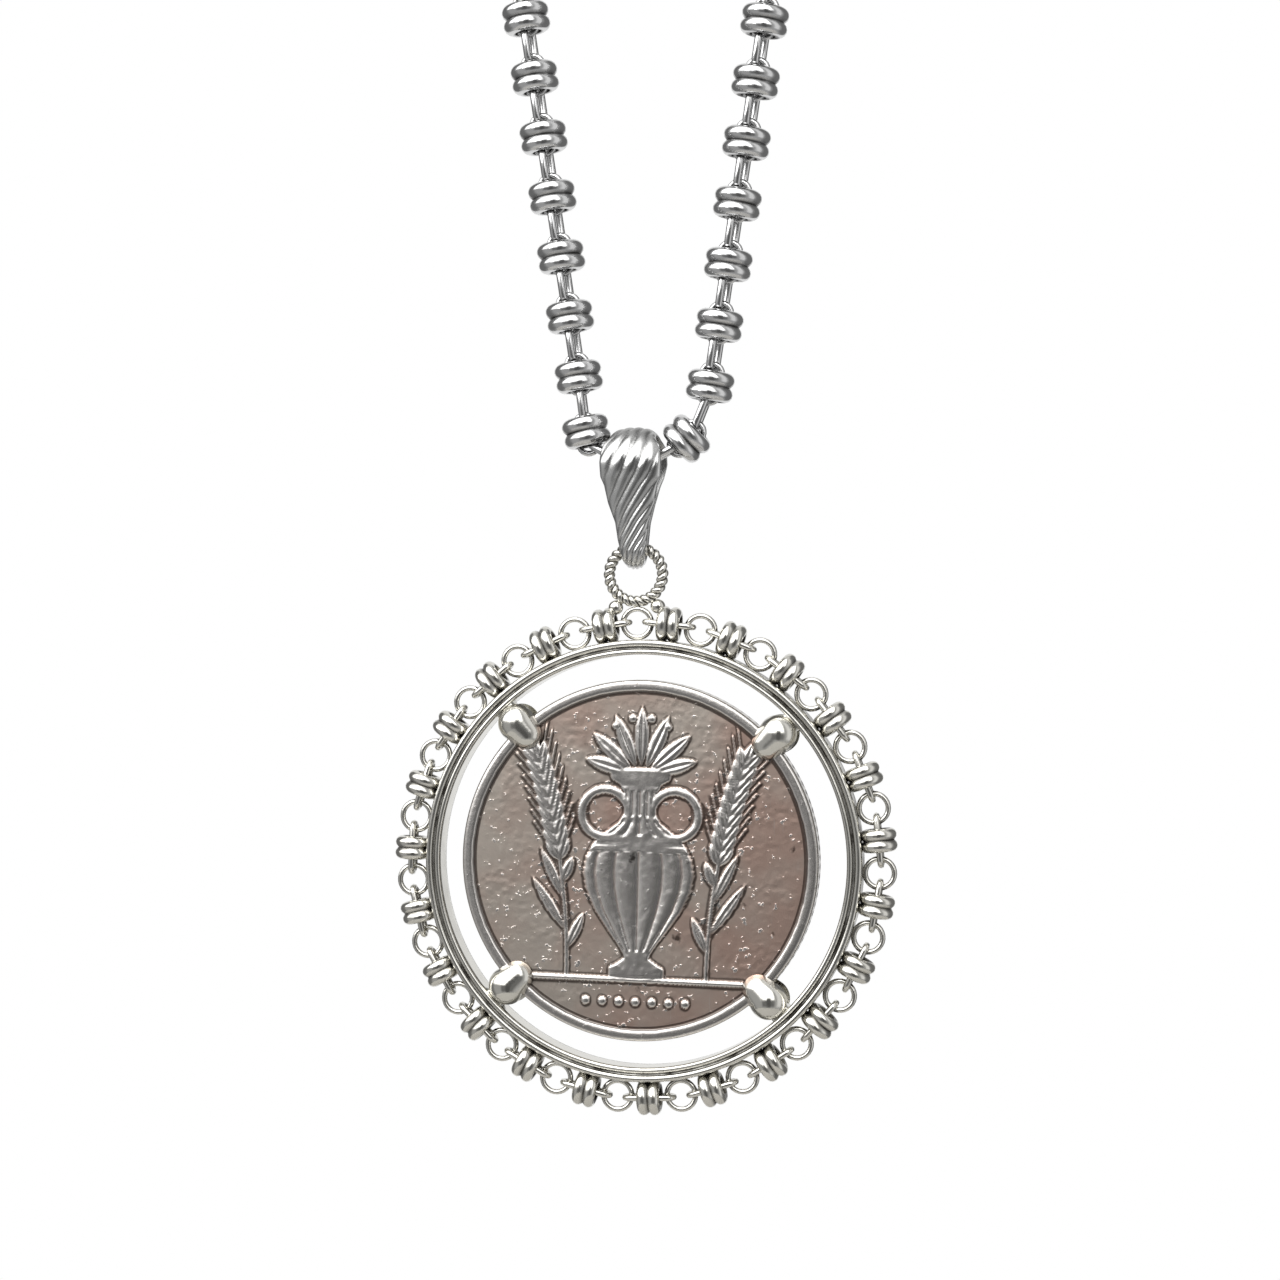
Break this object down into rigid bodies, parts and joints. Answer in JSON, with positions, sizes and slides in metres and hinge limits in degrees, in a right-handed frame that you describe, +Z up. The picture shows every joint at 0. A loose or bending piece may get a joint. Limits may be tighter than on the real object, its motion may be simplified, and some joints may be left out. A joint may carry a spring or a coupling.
{
  "type": "coin pendant on a bead chain",
  "caption": "Coin in a pierced silver ring of linked rings and beads, held by egg-shaped claws, hanging from a twisted ring and a fluted bail on a bead chain.",
  "frame": {"origin": "inside the top of the chain's loop, under the middle of the clasp, where the necklace is carried", "axes": "+Z up along the hanging necklace, +X to the right as seen from the front, the coin's face looks along -Y"},
  "size_m": [0.0633, 0.0058, 0.2546],
  "materials": {
    "coin_steel": "worn stainless coin steel",
    "silver": "polished sterling silver",
    "chain_silver": "polished silver, darker in the grooves"
  },
  "bodies": {
    "necklace": {"chain_left": "chain_silver", "chain_right": "chain_silver", "clasp": "chain_silver"},
    "bail": {"bail": "silver"},
    "pendant": {"setting": "silver", "coin": "coin_steel"}
  },
  "joints": [
    {"name": "bail_swing", "type": "hinge", "parent": "necklace", "child": "bail", "pos_m": [-0.001, 0, -0.19803], "axis": [1, 0, 0], "range_deg": [-20, 20]},
    {"name": "pendant_swing", "type": "hinge", "parent": "bail", "child": "pendant", "pos_m": [-0.00085, 0, -0.20431], "axis": [1, 0, 0], "range_deg": [-90, 90]}
  ]
}
